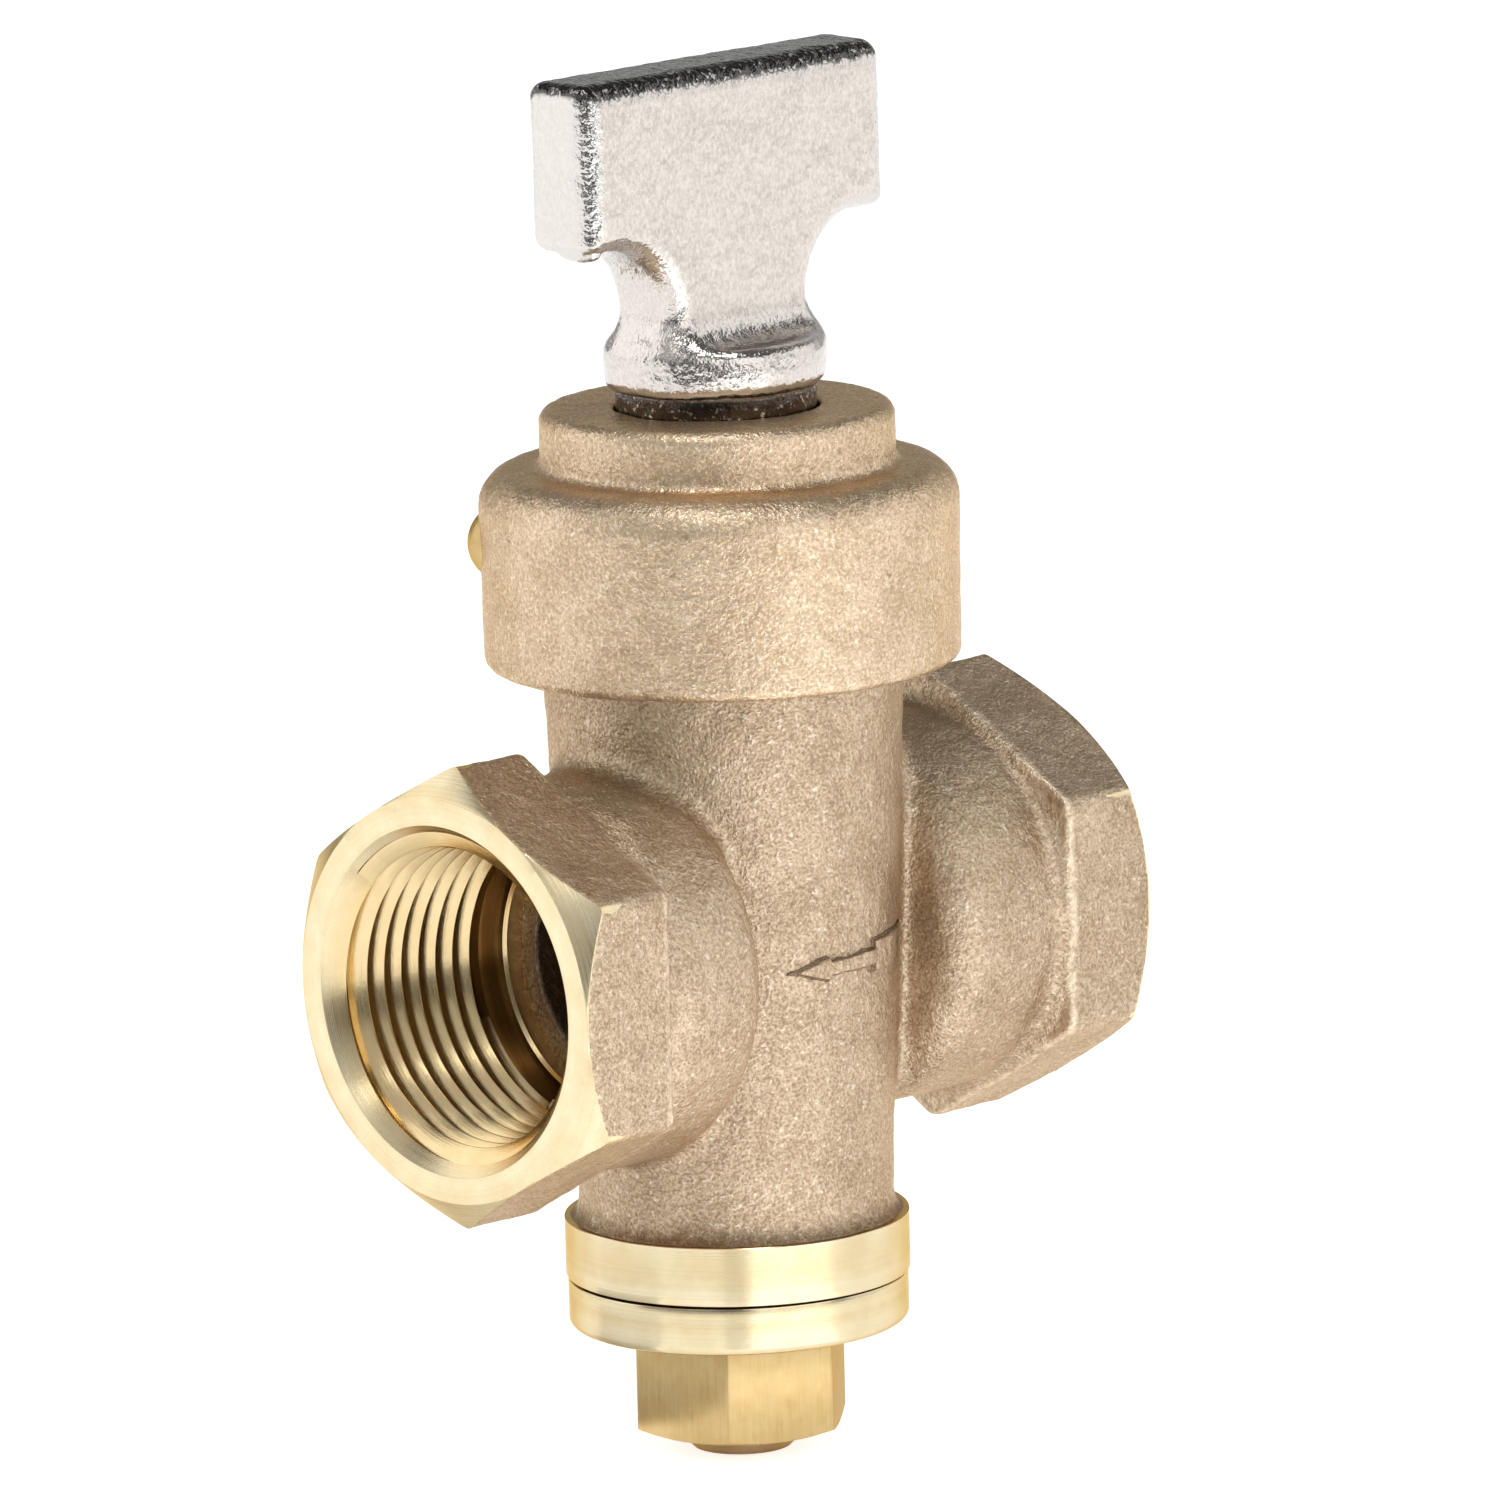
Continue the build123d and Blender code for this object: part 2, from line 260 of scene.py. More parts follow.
def sampled(field, low, high, step):
    """Field values on a grid, worked out finely only in blocks near the surface."""
    block = 12
    count = np.ceil((high - low) / step / block).astype(int) * block + 1
    starts = [np.arange(0, n - 1, block) for n in count]
    corners = np.stack(np.meshgrid(*starts, indexing="ij"), axis=-1).reshape(-1, 3)
    middles = low + (corners + block / 2) * step
    rough = field(middles)
    values = np.empty(count, dtype=np.float32)
    reach = block * step * 0.95
    inside_block = np.stack(np.meshgrid(*[np.arange(block + 1)] * 3, indexing="ij"), axis=-1)
    for corner, value in zip(corners, rough):
        spot = tuple(slice(c, c + block + 1) for c in corner)
        if abs(value) > reach:
            values[spot] = value
    for corner, value in zip(corners, rough):
        spot = tuple(slice(c, c + block + 1) for c in corner)
        if abs(value) <= reach:
            grid = low + (inside_block.reshape(-1, 3) + corner) * step
            values[spot] = field(grid).reshape(inside_block.shape[:3])
    return values


EDGES = [
    ((0, 0, 0), (1, 0, 0)), ((0, 1, 0), (1, 1, 0)), ((0, 0, 1), (1, 0, 1)), ((0, 1, 1), (1, 1, 1)),
    ((0, 0, 0), (0, 1, 0)), ((1, 0, 0), (1, 1, 0)), ((0, 0, 1), (0, 1, 1)), ((1, 0, 1), (1, 1, 1)),
    ((0, 0, 0), (0, 0, 1)), ((1, 0, 0), (1, 0, 1)), ((0, 1, 0), (0, 1, 1)), ((1, 1, 0), (1, 1, 1)),
]


def surface_nets(values, low, step):
    """Points and quads of the surface where a sampled field is zero."""
    inside = values < 0
    cells = tuple(n - 1 for n in values.shape)
    count = np.zeros(cells, dtype=np.int8)
    for corner in np.ndindex(2, 2, 2):
        count += inside[tuple(slice(c, c + n) for c, n in zip(corner, cells))]
    active = (count > 0) & (count < 8)
    places = np.argwhere(active)
    number = np.full(cells, -1, dtype=np.int32)
    number[active] = np.arange(len(places))
    total = np.zeros((len(places), 3))
    hits = np.zeros(len(places))
    for start, end in EDGES:
        a = values[tuple((places + start).T)].astype(float)
        b = values[tuple((places + end).T)].astype(float)
        crossed = (a < 0) != (b < 0)
        part = a[crossed] / (a[crossed] - b[crossed])
        total[crossed] += np.array(start) + part[:, None] * (np.array(end) - start)
        hits[crossed] += 1
    points = low + (places + total / hits[:, None]) * step
    quads = []
    for axis in range(3):
        step_on = np.eye(3, dtype=int)[axis]
        side_u = np.eye(3, dtype=int)[(axis + 1) % 3]
        side_v = np.eye(3, dtype=int)[(axis + 2) % 3]
        here = inside[tuple(slice(0, n - s) for n, s in zip(values.shape, step_on))]
        after = inside[tuple(slice(s, n) for n, s in zip(values.shape, step_on))]
        edge = np.argwhere(here != after)
        leaving = here[tuple(edge.T)]
        around = [edge, edge - side_u, edge - side_u - side_v, edge - side_v]
        quad = np.stack([number[tuple(place.T)] for place in around], axis=-1)
        quad[~leaving] = quad[~leaving][:, ::-1]
        quads.append(quad)
    return points, np.concatenate(quads)


def settled(points, field, step):
    """Points moved exactly onto the field's surface."""
    nudge = 0.02
    for _ in range(4):
        value = field(points)
        slope = np.stack(
            [(field(points + nudge * d) - field(points - nudge * d)) / (2 * nudge) for d in np.eye(3)],
            axis=-1,
        )
        steep = np.maximum((slope**2).sum(axis=-1), 0.2)
        move = slope * (value / steep)[:, None]
        points = points - np.clip(move, -step / 3, step / 3)
    return points


def cast_piece(name, field, low, high, step, body):
    """A mesh of a field, smooth and closed."""
    low = np.array(low) - 1.5 * step
    high = np.array(high) + 1.5 * step
    points, faces = surface_nets(sampled(field, low, high, step), low, step)
    return mesh_object(name, settled(points, field, step), faces, body)


# ---------------------------------------------------------------- body

def hex_radius(turn):
    """Distance from the port axis to the hexagon, with softened corners."""
    sharpness = 90
    nearness = sum(np.maximum(np.cos(turn - side), 0) ** sharpness for side in HEX_SIDES)
    return HEX_HALF / nearness ** (1 / sharpness)


def hex_field(y, z):
    flats = np.abs(y) - HEX_HALF
    for side in (math.radians(60), math.radians(120)):
        flat = np.abs(y * math.cos(side) + z * math.sin(side)) - HEX_HALF
        flats = cut(flats, flat, 0.7)
    return flats


def barrel_radius(z):
    return BARREL_LOW_R + BARREL_SLOPE * (z - BARREL_LOW_Z)


def key_bore(z):
    return KEY_MID_R + (z - PORT_Z) / KEY_TAPER


def barrel_field(x, y, z):
    """Tapered barrel that flares onto the turned rim, and the collar hidden in the cap."""
    from_key = np.hypot(x, y)
    flare = FLARE_R * np.exp(-np.maximum(z - RIM_TOP, 0) / FLARE_LENGTH)
    barrel = np.maximum(from_key - (barrel_radius(z) + flare), RIM_BOTTOM + 0.5 - z)
    level = np.abs(z - (BORE_TOP + BODY_TOP) / 2) - COLLAR_HALF_HEIGHT
    collar = cut(from_key - COLLAR_R + 0.05, level, 0.4)
    return join(np.maximum(barrel, z - BORE_TOP - 2), collar, 1.5)


def port_field(x, y, z):
    """Necks with rounded shoulders, and the hexagons behind their turned faces."""
    along = np.abs(x)
    from_port = np.hypot(y, z - PORT_Z)
    at_inlet = x > 0
    waist = np.where(at_inlet, 0.15, 0.5) * np.exp(-((along - WAIST_X) / 1.7) ** 2)
    neck = cut(from_port - NECK_R + waist, NECK_END_X - along, NECK_ROUND)
    neck = np.maximum(neck, along - FACE_X + 2)
    cone = (along - FACE_X + (from_port - HEX_FACE_R) * CHAMFER_SLOPE) / math.hypot(1, CHAMFER_SLOPE)
    back = HEX_BACK_X - along
    sides = hex_field(y, z - PORT_Z)
    turned_away = np.maximum(cone, along - FACE_X) + 0.03 + 0.3 * np.maximum(-sides, 0)
    hexagon = cut(cut(sides, turned_away, 0.08), back, 0.45)
    return join(neck, hexagon, np.where(at_inlet, 1.6, 0.6))


def arrow_field(points):
    """Raised flow arrow wrapped on the barrel's front, pointing to the outlet, on a thin foot."""
    x, y, z = points.T
    up = np.abs(z - PORT_Z + 0.45 - 0.035 * (x + 5))
    head = np.maximum(up - (x - ARROW_TIP_X) * 0.33, x + 2.0 + up * 0.3)
    shaft = np.maximum(up - 0.55, np.abs(x - 0.6) - 3)
    tail = np.maximum(up - 1.2, np.abs(x - 6.4 + up * 0.25) - 3.2)
    outline = np.minimum(np.minimum(head, shaft), tail)
    depth = np.hypot(x, y) - barrel_radius(z)
    relief = ARROW_RELIEF - 0.12 * np.maximum(x - 5, 0)
    raised = cut(outline, np.maximum(depth - relief, -0.6 - depth), 0.12)
    foot_top = depth - np.minimum(relief, ARROW_FOOT)
    foot = np.maximum(outline - 0.22, np.maximum(foot_top, -0.6 - depth))
    return np.minimum(raised, foot)


def hollow_field(x, y, z):
    """Everything cut out of the casting: key bore, counterbore, check notch, ports, waterway."""
    along = np.abs(x)
    from_key = np.hypot(x, y)
    from_port = np.hypot(y, z - PORT_Z)
    bore = np.maximum(from_key - key_bore(z), z - BORE_TOP - 1)
    counterbore = np.maximum(from_key - COUNTERBORE_R, BORE_TOP - z)
    lining = np.maximum(from_port - SLEEVE_R + 0.1, SEAT_END_X + 0.05 - along)
    pocket = np.maximum(from_port - POCKET_R + 0.3 * (SEAT_END_X - along), POCKET_END_X - along)
    slot = np.maximum(np.abs(y) - SLOT_HALF_WIDTH, np.abs(z - PORT_Z) - SLOT_HALF_HEIGHT)
    slot = np.maximum(slot, along - SEAT_END_X - 1)
    notch = np.maximum(np.abs(np.arctan2(x, y)) - NOTCH_HALF_ANGLE, 0) * from_key
    notch = np.maximum(np.where(notch > 0, notch, -1), NOTCH_FLOOR - z)
    hollow = np.minimum(np.minimum(bore, counterbore), np.minimum(lining, pocket))
    return np.minimum(np.minimum(hollow, slot), notch)


def body_field(points):
    x, y, z = points.T
    casting = join(barrel_field(x, y, z), port_field(x, y, z), 1.8)
    return cut(casting, -hollow_field(x, y, z), 0.15)


def away_from_faces(points):
    """Nought at the turned faces and their chamfers, growing to one a millimetre behind them."""
    x, y, z = points.T
    from_port = np.hypot(y, z - PORT_Z)
    behind = FACE_X - np.abs(x) - np.maximum(from_port - HEX_FACE_R, 0) * CHAMFER_SLOPE
    return np.clip(behind - 0.1, 0, 1)


def thread_rows(start_x, end_x):
    """Rows of a right-handed taper thread about X, from the mouth inwards: distance and radius."""
    turn = angles()[None, :]
    shape = [(0.0, 0.0), (0.05, 0.03), (0.47, 1.0), (0.55, 1.0), (0.97, 0.03)]
    turns = int((start_x - end_x) / PITCH) + 3
    parts = np.array([k + part for k in range(turns) for part, _ in shape])
    depths = np.array([depth for _ in range(turns) for _, depth in shape])
    x = FIRST_CREST_X + 2 * PITCH - parts[:, None] * PITCH + PITCH * turn / (2 * math.pi)
    crest = THREAD_R - (FACE_X - x) * PIPE_TAPER + 0.2
    radius = crest + THREAD_DEPTH * depths[:, None]
    mouth = MOUTH_R - (FACE_X - x) * 1.15
    outside = x >= start_x
    radius = np.where(outside, MOUTH_R, np.maximum(radius, mouth))
    beyond = x <= end_x
    radius = np.where(beyond, crest + 0.5, radius)
    return np.clip(x, end_x, start_x), radius, len(shape)


def helical_faces(rows, columns, shift):
    """Quads of a helical grid, where the last column joins the first one shift rows on."""
    quads = []
    for row in range(rows - 1):
        for column in range(columns - 1):
            a = row * columns + column
            quads.append((a, a + 1, a + 1 + columns, a + columns))
        if row + shift + 1 < rows:
            a = (row + shift) * columns + columns - 1
            b = row * columns
            quads.append((a, b, b + columns, a + columns))
    return quads


def port_lining(name, side):
    """Turned face, chamfered hexagon edge, thread, relief groove and seat of one port."""
    turn = angles()[None, :]
    even = np.ones_like(turn)
    flats = hex_radius(turn)
    edge = np.minimum(HEX_FACE_R, flats)
    brink_x = FACE_X - np.maximum(flats - HEX_FACE_R, 0) * CHAMFER_SLOPE
    thread_x, thread_r, shift = thread_rows(FACE_X, THREAD_END_X)
    thread_count = len(thread_x)
    plain = [
        (THREAD_END_X * even, RELIEF_R * even),
        (RELIEF_END_X * even, RELIEF_R * even),
        (RELIEF_END_X * even, (SEAT_R + 0.25) * even),
        ((RELIEF_END_X - 0.25) * even, SEAT_R * even),
        (SEAT_END_X * even, SEAT_R * even),
        (SEAT_END_X * even, SLEEVE_R * even),
        ((brink_x - 3.2), SLEEVE_R * even),
        ((brink_x - 3.2), flats - 0.15),
        ((brink_x - 0.4), flats - 0.05),
        (brink_x - 0.03, flats - 0.02),
        ((brink_x * 0.5 + FACE_X * 0.5), edge * 0.5 + flats * 0.5 + 0.01),
        (FACE_X - np.minimum(0.1 * (FACE_X - brink_x), 0.04), edge + 0.01),
        (FACE_X * even, edge - 0.05),
        (FACE_X * even, (edge + MOUTH_R) / 2),
        (FACE_X * even, MOUTH_R * even + 0.05),
    ]
    x = np.concatenate([thread_x] + [row for row, _ in plain])
    radius = np.concatenate([thread_r] + [row for _, row in plain])
    points = np.stack([x, radius * np.cos(turn), radius * np.sin(turn)], axis=-1)
    columns = turn.shape[1]
    count = len(x)
    helix = helical_faces(thread_count, columns, shift)
    wall = ring_faces(count, columns, closed=True).reshape(count, columns, 4)
    wall = wall[thread_count - 1:].reshape(-1, 4)
    faces = np.concatenate([np.array(helix), wall])
    points = points.reshape(-1, 3)
    points[:, :2] *= side
    points[:, 2] += PORT_Z
    piece = mesh_object(name, points, faces, "body")
    return weld(piece, 30)


def make_body():
    """The cast body, its arrow, the turned linings of its two ports and its turned bottom rim."""
    low = (-FACE_X, -COLLAR_R, RIM_BOTTOM)
    high = (FACE_X, COLLAR_R, BODY_TOP)
    casting = cast_piece("body_casting", body_field, low, high, BODY_STEP, "body")
    roughen(casting, [(5.0, 0.09), (1.6, 0.06), (0.7, 0.03)], strength=away_from_faces)
    low = (ARROW_TIP_X - 0.8, -BARREL_LOW_R - 2, PORT_Z - 3)
    high = (10.5, -6, PORT_Z + 3)
    arrow = cast_piece("flow_arrow", arrow_field, low, high, ARROW_STEP, "body")
    roughen(arrow, [(1.3, 0.09), (0.6, 0.05)])
    outlet = port_lining("outlet_lining", -1)
    inlet = port_lining("inlet_lining", 1)
    bore = key_bore(RIM_BOTTOM)
    rim = turned_ring("bottom_rim", [
        (bore, RIM_BOTTOM, 0.1),
        (RIM_R, RIM_BOTTOM, 0.15),
        (RIM_R, RIM_TOP, 0.06),
        (bore + 1, RIM_TOP, 0.1),
    ], "body")
    for piece in (casting, arrow, outlet, inlet, rim):
        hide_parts("valve_body")
    return casting, arrow, outlet, inlet, rim


# ---------------------------------------------------------------- cap, handle, key and fasteners

def make_cap():
    """Stepped cap with an even wall, turned about the key and lightly uneven like the casting."""
    ledge = cap_high.z - 4.9
    wall = 2.5
    skirt = cap_high.y - 0.04
    tier = 14.2
    neck = 8.2
    piece = turned_ring("cap_casting", [
        (17.0, cap_low.z, 0.4),
        (skirt - 0.2, cap_low.z, 0.9),
        (skirt, ledge, 2.9),
        (tier, ledge + 0.25, 0.9),
        (tier, cap_high.z, 1.1),
        (neck, cap_high.z, 0.35),
        (neck, cap_high.z - wall, 0.3),
        (11.4, cap_high.z - wall, 0.5),
        (11.4, ledge - wall, 0.5),
        (17.0, ledge - wall, 0.8),
    ], "key_assembly", spacing=0.3)
    roughen(piece, [(6.0, 0.06), (1.8, 0.05), (0.7, 0.03)])
    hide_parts("cap")
    return piece


SHANK_R = 8.05
COLLAR_BOTTOM = 86.8
PADDLE_UNDER = 99.3
WAIST_HALF = 7.8
PADDLE_HALF_THICK = 3.8
PADDLE_HALF_LENGTH = tee_high.x + 0.5
TEE_LEAN = math.tan(math.radians(1.1))      # the cast handle stands slightly out of true
TEE_TOP_TRIM = 0.08                         # leaves room for the roughness of the top
GATE_PLACE = (-15.3, -0.9, 99.2)            # stub left by the casting's gate
GATE_RADII = (0.9, 2.0, 0.6)
SOCKET_HALF = 4.9
SOCKET_TOP = 84.5


def tee_field(points):
    """Flat tee that narrows to its waist, round collar below it, and the socketed shank."""
    x, y, z = points.T
    lift = z - COLLAR_BOTTOM
    x = x + TEE_LEAN * np.maximum(lift, 0)
    along = np.abs(x)
    paddle = cut(along - PADDLE_HALF_LENGTH, PADDLE_UNDER - z, 1.0)
    profile = join(paddle, along - WAIST_HALF, 6.0)
    profile = cut(profile, z - tee_high.z + TEE_TOP_TRIM, 1.3)
    plate = cut(profile, np.abs(y) - PADDLE_HALF_THICK, 2.0)
    from_key = np.hypot(x, y)
    collar_r = tee_high.y - 0.05 * (lift - 2.0) ** 2
    collar = cut(from_key - collar_r, lift - 3.9, 0.9)
    tee = join(plate, collar, 2.8)
    tee = cut(tee, -lift, 0.9)
    parts = [(p - c) / r for p, c, r in zip((x, y, z), GATE_PLACE, GATE_RADII)]
    stub = np.sqrt(parts[0] ** 2 + parts[1] ** 2 + parts[2] ** 2) - 1
    tee = join(tee, stub, 0.5)
    shank = np.maximum(from_key - SHANK_R, np.maximum(tee_low.z - z, lift - 1))
    socket = np.maximum(np.maximum(along, np.abs(y)) - SOCKET_HALF, z - SOCKET_TOP)
    return np.maximum(np.minimum(tee, shank), -socket)


def make_tee():
    low = (tee_low.x - 1.4, tee_low.y, tee_low.z)
    high = (tee_high.x + 0.6, tee_high.y, tee_high.z)
    piece = cast_piece("tee_casting", tee_field, low, high, TEE_STEP, "key_assembly")
    roughen(piece, [(4.0, 0.07), (1.2, 0.04), (0.55, 0.03)])
    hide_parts("tee_handle")
    return piece


WASHER_TILT = 0.0035        # the nut pulls the washer a little askew


def make_washer():
    radius = washer_high.x
    top = washer_high.z + 0.12
    piece = turned_ring("washer_disc", [
        (6.3, washer_low.z, 0.1),
        (radius, washer_low.z, 0.7),
        (radius, top, 0.12),
        (12.7, top, 0.05),
        (12.7, washer_high.z - 0.6, 0.05),
        (6.3, washer_high.z - 0.6, 0.05),
    ], "key_assembly")
    for point in piece.data.vertices:
        point.co.z += WASHER_TILT * (point.co.x - point.co.y)
    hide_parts("bottom_washer")
    return piece


NUT_FLATS = 15.875
NUT_TURN = math.radians(-21)


def make_nut():
    """Hexagon nut chamfered at both ends, with softened corners."""
    turn = angles()[None, :]
    sharpness = 160
    sides = [NUT_TURN + math.radians(30 + 60 * k) for k in range(6)]
    nearness = sum(np.maximum(np.cos(turn - side), 0) ** sharpness for side in sides)
    flats = NUT_FLATS / 2 / nearness ** (1 / sharpness)
    even = np.ones_like(turn)
    flat_r = NUT_FLATS / 2 - 0.15
    drop = np.maximum(flats - flat_r, 0) * math.tan(math.radians(20))
    low, high = nut_low.z, nut_high.z
    hole = 4.79
    rows = [
        (hole * even, (low + 0.5) * even),
        ((hole + 0.5) * even, low * even),
        (np.minimum(flat_r, flats), low * even),
        (flats - 0.03, low + drop),
        (flats, low + drop + 0.08),
        (flats, (low + high) / 2 * even),
        (flats, high - drop - 0.08),
        (flats - 0.03, high - drop),
        (np.minimum(flat_r, flats), high * even),
        (hole * even, high * even),
    ]
    radius = np.concatenate([row for row, _ in rows])
    height = np.concatenate([row for _, row in rows])
    points = about_key(radius, height).reshape(-1, 3)
    faces = ring_faces(len(rows), AROUND, closed=True)
    piece = weld(mesh_object("nut", points, faces, "key_assembly"), 25)
    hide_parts("hex_nut")
    return piece


# ---------------------------------------------------------------- materials

class Shades:
    """A material's node tree with short calls for the nodes that the finishes share."""

    def __init__(self, name):
        self.material = bpy.data.materials.new(name)
        self.material.use_nodes = True
        self.nodes = self.material.node_tree.nodes
        self.links = self.material.node_tree.links
        self.shader = self.nodes["Principled BSDF"]
        coordinates = self.nodes.new("ShaderNodeTexCoord")
        self.facing = coordinates.outputs["Normal"]
        self.place = self.vector("MULTIPLY", coordinates.outputs["Object"], (1 / MM,) * 3)

    def put(self, socket, value):
        if isinstance(value, bpy.types.NodeSocket):
            self.links.new(value, socket)
        else:
            socket.default_value = value

    def vector(self, operation, *values, out="Vector"):
        node = self.nodes.new("ShaderNodeVectorMath")
        node.operation = operation
        for socket, value in zip(node.inputs, values):
            self.put(socket, value)
        return node.outputs[out]

    def math(self, operation, *values, clamp=False):
        node = self.nodes.new("ShaderNodeMath")
        node.operation = operation
        node.use_clamp = clamp
        for socket, value in zip(node.inputs, values):
            self.put(socket, value)
        return node.outputs[0]

    def noise(self, size, detail=2.0, roughness=0.5, place=None):
        """Noise whose lumps are about size millimetres across."""
        node = self.nodes.new("ShaderNodeTexNoise")
        self.put(node.inputs["Vector"], place or self.place)
        node.inputs["Scale"].default_value = 1 / size
        node.inputs["Detail"].default_value = detail
        node.inputs["Roughness"].default_value = roughness
        return node.outputs["Fac"]

    def spread(self, value, low, high, to_low=0.0, to_high=1.0):
        node = self.nodes.new("ShaderNodeMapRange")
        for socket, number in zip(node.inputs, (value, low, high, to_low, to_high)):
            self.put(socket, number)
        return node.outputs["Result"]

    def blend(self, amount, first, second):
        node = self.nodes.new("ShaderNodeMix")
        node.data_type = "RGBA"
        self.put(node.inputs[0], amount)
        for socket, colour in zip(node.inputs[6:8], (first, second)):
            self.put(socket, (*colour, 1.0) if isinstance(colour, tuple) else colour)
        return node.outputs[2]

    def bump(self, height, depth, strength=1.0, after=None):
        """Surface relief depth millimetres deep."""
        node = self.nodes.new("ShaderNodeBump")
        node.inputs["Strength"].default_value = strength
        node.inputs["Distance"].default_value = depth * MM
        self.put(node.inputs["Height"], height)
        if after is not None:
            self.put(node.inputs["Normal"], after)
        return node.outputs["Normal"]

    def finish(self, colour=None, roughness=None, normal=None, metallic=1.0, edge=(1, 1, 1)):
        self.shader.inputs["Metallic"].default_value = metallic
        self.shader.inputs["Specular Tint"].default_value = (*edge, 1.0)
        for name, value in (("Base Color", colour), ("Roughness", roughness), ("Normal", normal)):
            if value is not None:
                self.put(self.shader.inputs[name], value)
        return self.material


def from_axis(s, axis):
    """Distance from the port axis or the key's axis, and distance along it, in millimetres."""
    if axis == "port":
        place = s.vector("SUBTRACT", s.place, (0, 0, PORT_Z))
        flat = s.vector("MULTIPLY", place, (0, 1, 1))
        along = s.vector("DOT_PRODUCT", place, (1, 0, 0), out="Value")
    else:
        flat = s.vector("MULTIPLY", s.place, (1, 1, 0))
        along = s.vector("DOT_PRODUCT", s.place, (0, 0, 1), out="Value")
    return s.vector("LENGTH", flat, out="Value"), along


def painted_edge_highlight(s, radial, along, lumps):
    """Where the back edges of the hexagons get a painted highlight."""
    from_edge = s.math("ABSOLUTE", s.math("SUBTRACT", along, HEX_BACK_X + 0.25))
    edge = s.math("MULTIPLY", s.spread(from_edge, 0.6, 0.15), s.spread(radial, 16.0, 16.4))
    return s.math("MULTIPLY", edge, s.spread(lumps, 0.35, 0.6, 0.1, 0.75))


def inside_port(s, radial, along):
    """Where the casting faces into the cored part of a port, behind the turned seat."""
    from_port = s.vector("SUBTRACT", s.place, (0, 0, PORT_Z))
    outward = s.vector("NORMALIZE", s.vector("MULTIPLY", from_port, (0, 1, 1)))
    inward = s.spread(s.vector("DOT_PRODUCT", s.facing, outward, out="Value"), -0.2, -0.5)
    across = s.math("ABSOLUTE", s.vector("DOT_PRODUCT", s.facing, (1, 0, 0), out="Value"))
    end_wall = s.math("MULTIPLY", s.spread(along, 9.5, 9.0), s.spread(across, 0.85, 0.95))
    inner = s.math("MULTIPLY", s.math("MAXIMUM", inward, end_wall), s.spread(radial, 10.4, 10.0))
    return s.math("MULTIPLY", inner, s.spread(along, SEAT_END_X + 0.8, SEAT_END_X + 0.3))


def above_barrel(s):
    """Height above the barrel's tapered surface."""
    reach, level = from_axis(s, "key")
    top = BARREL_LOW_Z + 40
    barrel_r = s.spread(level, BARREL_LOW_Z, top, barrel_radius(BARREL_LOW_Z), barrel_radius(top))
    return s.math("SUBTRACT", reach, barrel_r)


def cast_bronze(name, dark, light, pit_and_shade, roughness=0.4, relief=1.0, raised=False):
    """Sand-cast bronze: fine grain with painted glints, pitting, a painted highlight on the hexagons'
    back edges, and painted shade inside the ports and in a ragged band above the turned rim.

    Where it's raised on the barrel, its foot is darkened with painted shade.
    """
    s = Shades(name)
    grain = s.noise(0.26, detail=2.0, roughness=0.6)
    lumps = s.noise(0.9, detail=2.0)
    patch = s.noise(4.5, detail=4.0, roughness=0.6)
    patches = s.spread(patch, 0.3, 0.7, -0.3, 0.25)
    colour = s.blend(s.math("ADD", s.spread(grain, 0.32, 0.68), patches, clamp=True), dark, light)
    # painted glints: bright speckles blended into the colour
    glint_specks = s.spread(s.noise(0.45, detail=2.0), 0.62, 0.68)
    colour = s.blend(s.math("MULTIPLY", glint_specks, 0.45), colour, (0.95, 0.84, 0.70))
    pitted = s.spread(s.noise(1.1, detail=4.0, roughness=0.7), 0.62, 0.7)
    colour = s.blend(s.math("MULTIPLY", pitted, 0.6), colour, pit_and_shade)
    # painted shade: a ragged darker band on the flare just above the turned rim, in the pit colour
    height = s.vector("DOT_PRODUCT", s.place, (0, 0, 1), out="Value")
    ragged = s.math("ADD", height, s.spread(lumps, 0.3, 0.7, -0.5, 0.5))
    colour = s.blend(s.spread(ragged, RIM_TOP + 1.6, RIM_TOP + 0.2, 0.0, 0.75), colour, pit_and_shade)
    # painted shadow: the arrow's foot darkened to the pit colour where it meets the barrel
    if raised:
        colour = s.blend(s.spread(above_barrel(s), 0.32, 0.14, 0.0, 0.8), colour, pit_and_shade)
    radial, along = from_axis(s, "port")
    along = s.math("ABSOLUTE", along)
    # painted highlight: lighter colour along the back edges of the hexagons
    colour = s.blend(painted_edge_highlight(s, radial, along, lumps), colour, (0.86, 0.72, 0.54))
    # painted shade: near-black colour on the cored walls inside the ports
    cored_shade = s.blend(grain, (0.07, 0.05, 0.035), (0.24, 0.18, 0.13))
    colour = s.blend(inside_port(s, radial, along), colour, cored_shade)
    rough = s.spread(grain, 0.35, 0.7, roughness + 0.1, roughness - 0.1)
    normal = s.bump(lumps, 0.22 * relief, 0.8)
    normal = s.bump(grain, 0.13 * relief, 1.0, after=normal)
    return s.finish(colour, rough, normal, metallic=0.85, edge=(0.85, 0.70, 0.52))


